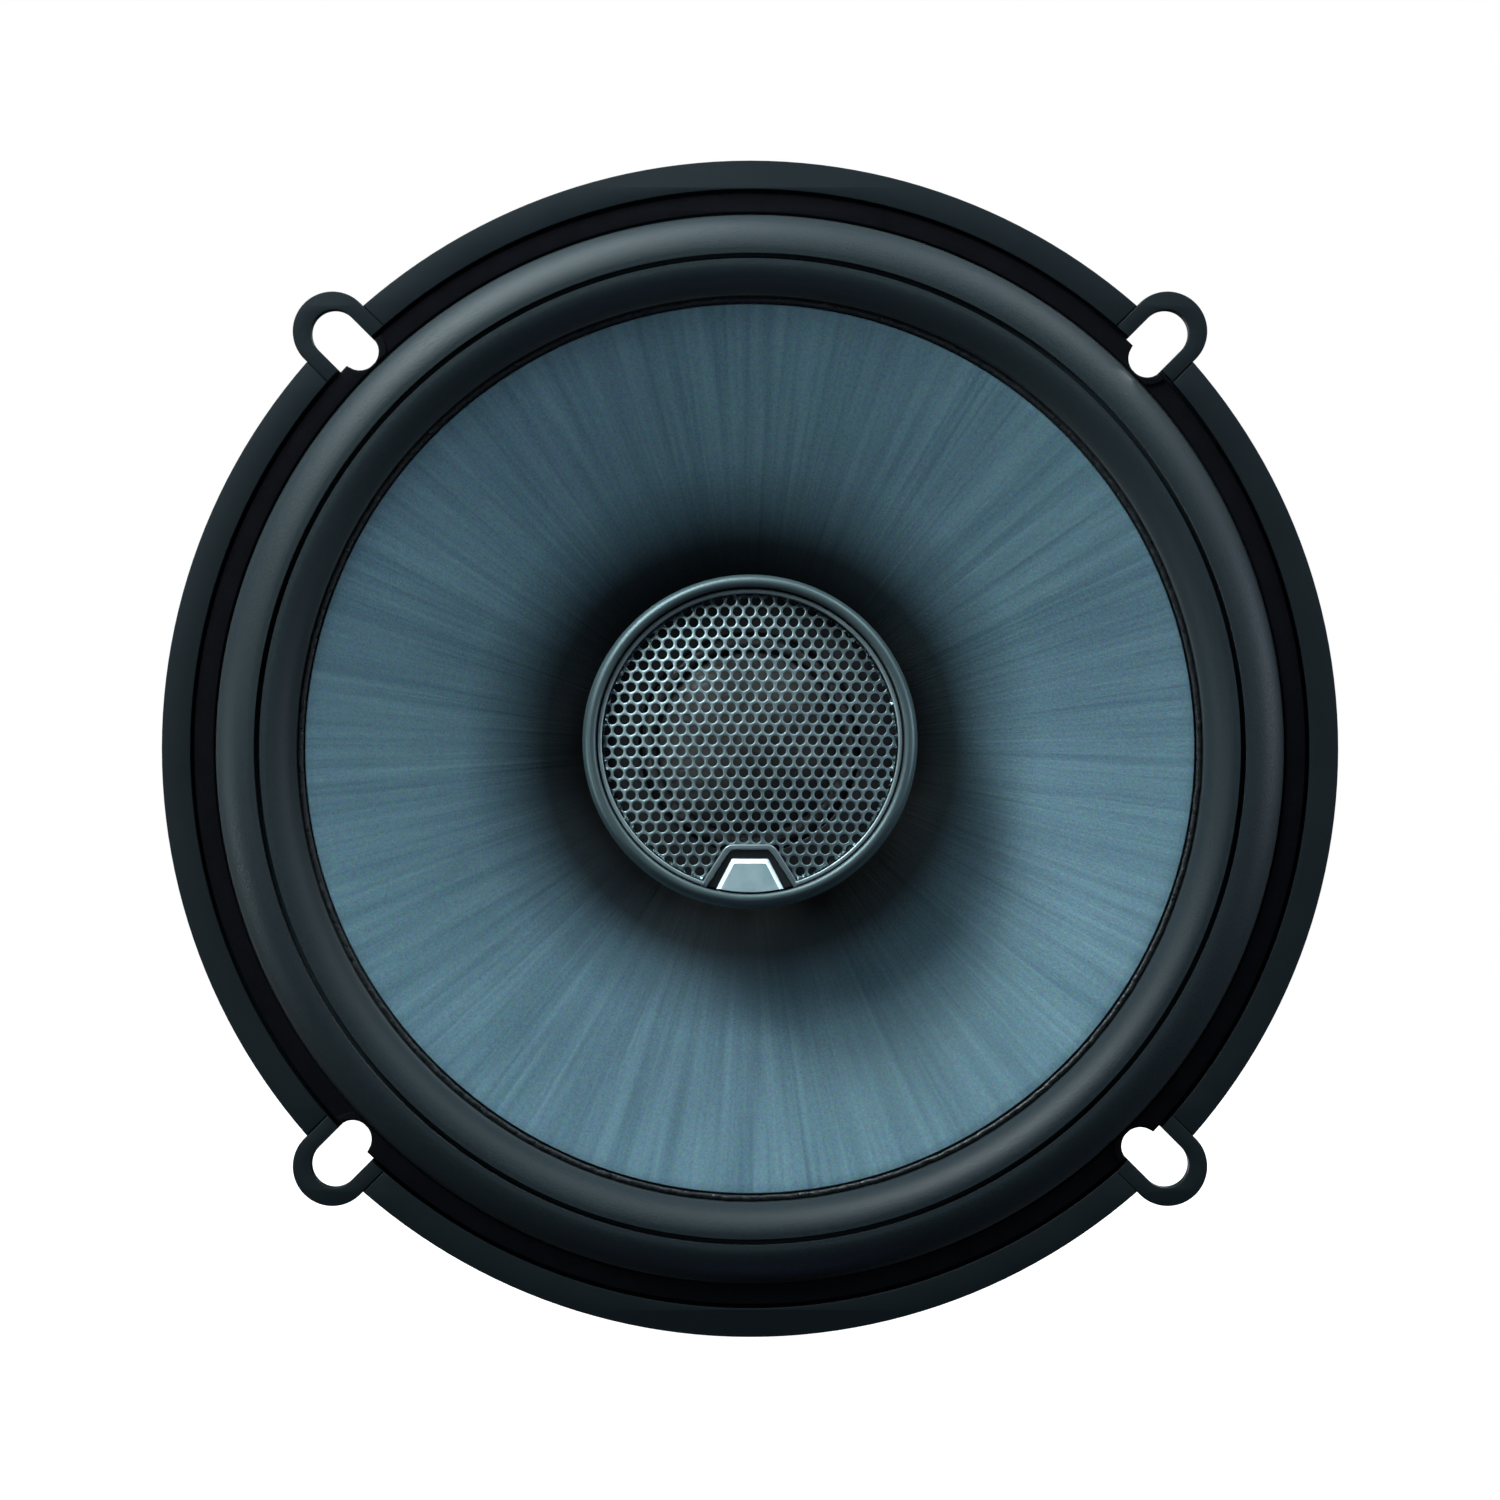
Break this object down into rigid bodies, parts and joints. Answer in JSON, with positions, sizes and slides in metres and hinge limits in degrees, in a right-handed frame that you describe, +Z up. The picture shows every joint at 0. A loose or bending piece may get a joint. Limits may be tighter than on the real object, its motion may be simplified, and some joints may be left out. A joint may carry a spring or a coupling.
{
  "type": "coaxial car speaker",
  "caption": "Round coaxial car speaker: woven cone on a two-lobe rubber surround, ring with slotted screw tabs, ferrite motor, and a small dome tweeter that swivels and tilts in front.",
  "frame": {"origin": "on the speaker's axis, in the plane of the mounting ring's back face, which meets the door panel", "axes": "+Y runs back into the door along the speaker's axis, so the listener is towards -Y; +Z is up, with the badge at the bottom"},
  "size_m": [0.165, 0.0715, 0.165],
  "materials": {
    "ring": "satin dark blue-grey paint",
    "basket": "black powder coat",
    "gasket": "moulded black rubber",
    "surround": "fine-grained butyl rubber",
    "spider": "phenolic-stiffened corrugated cloth",
    "cone": "woven glass cloth, slightly shiny",
    "glue": "glossy black adhesive",
    "former": "coil former paper",
    "copper": "enamelled copper wire",
    "zinc": "zinc-plated steel",
    "ferrite": "sintered ferrite",
    "felt": "black felt",
    "plastic": "black moulded plastic",
    "bezel": "satin lacquer",
    "grille": "perforated sheet, silver-grey",
    "badge_frame": "satin moulding",
    "badge": "brushed silver plate, blank",
    "neodymium": "nickel-plated magnet",
    "silk": "coated silk",
    "board": "fibre board",
    "tinned": "tinned brass",
    "sleeve": "shrink sleeve",
    "tinsel": "braided tinsel wire",
    "red_wire": "red insulation",
    "black_wire": "black insulation"
  },
  "bodies": {
    "frame": {"mounting_ring": "ring", "basket": "basket", "trim_gasket": "gasket", "surround": "surround", "spider": "spider", "pole_felt": "felt", "front_plate": "zinc", "ferrite_magnet": "ferrite", "yoke": "zinc", "magnet_boot": "gasket", "basket_rivet_1": "zinc", "basket_rivet_2": "zinc", "basket_rivet_3": "zinc", "basket_rivet_4": "zinc", "tweeter_post": "plastic", "post_washer": "zinc", "post_nut": "zinc", "swivel_clip": "zinc", "terminal_board": "board", "board_rivet": "zinc", "terminal_positive": "tinned", "terminal_negative": "tinned", "crossover_capacitor": "sleeve", "capacitor_strap": "zinc", "tinsel_lead_positive": "tinsel", "tinsel_lead_negative": "tinsel", "tweeter_lead_positive": "red_wire", "tweeter_lead_negative": "black_wire"},
    "cone": {"cone": "cone", "glue_bead": "glue", "coil_former": "former", "coil_winding": "copper"},
    "swivel": {"swivel_collar": "plastic", "tilt_pin": "zinc"},
    "tweeter": {"tweeter_housing": "plastic", "tweeter_bezel": "bezel", "tweeter_grille": "grille", "grille_frame": "badge_frame", "badge_plate": "badge", "badge_base": "plastic", "tweeter_face_ring": "plastic", "tweeter_cup": "zinc", "tweeter_magnet": "neodymium", "tweeter_pole_plate": "zinc", "tweeter_roll": "silk"},
    "dome": {"tweeter_dome": "silk", "tweeter_coil": "copper"}
  },
  "joints": [
    {"name": "cone_travel", "type": "slide", "parent": "frame", "child": "cone", "axis": [0, -1, 0], "range_m": [-0.004, 0.004], "stiffness_N_per_m": 2000, "deforming": ["surround", "spider", "tinsel_lead_positive", "tinsel_lead_negative"]},
    {"name": "tweeter_swivel", "type": "hinge", "parent": "frame", "child": "swivel", "pos_m": [0, 0.0095, 0], "axis": [0, -1, 0], "range_deg": [-90, 90]},
    {"name": "tweeter_tilt", "type": "hinge", "parent": "swivel", "child": "tweeter", "pos_m": [0, 0.0032, 0], "axis": [-1, 0, 0], "range_deg": [-17.5, 7.5]},
    {"name": "dome_travel", "type": "slide", "parent": "tweeter", "child": "dome", "axis": [0, -0.9962, 0.0872], "range_m": [-0.0003, 0.0003], "stiffness_N_per_m": 2000, "deforming": ["tweeter_roll"]}
  ]
}
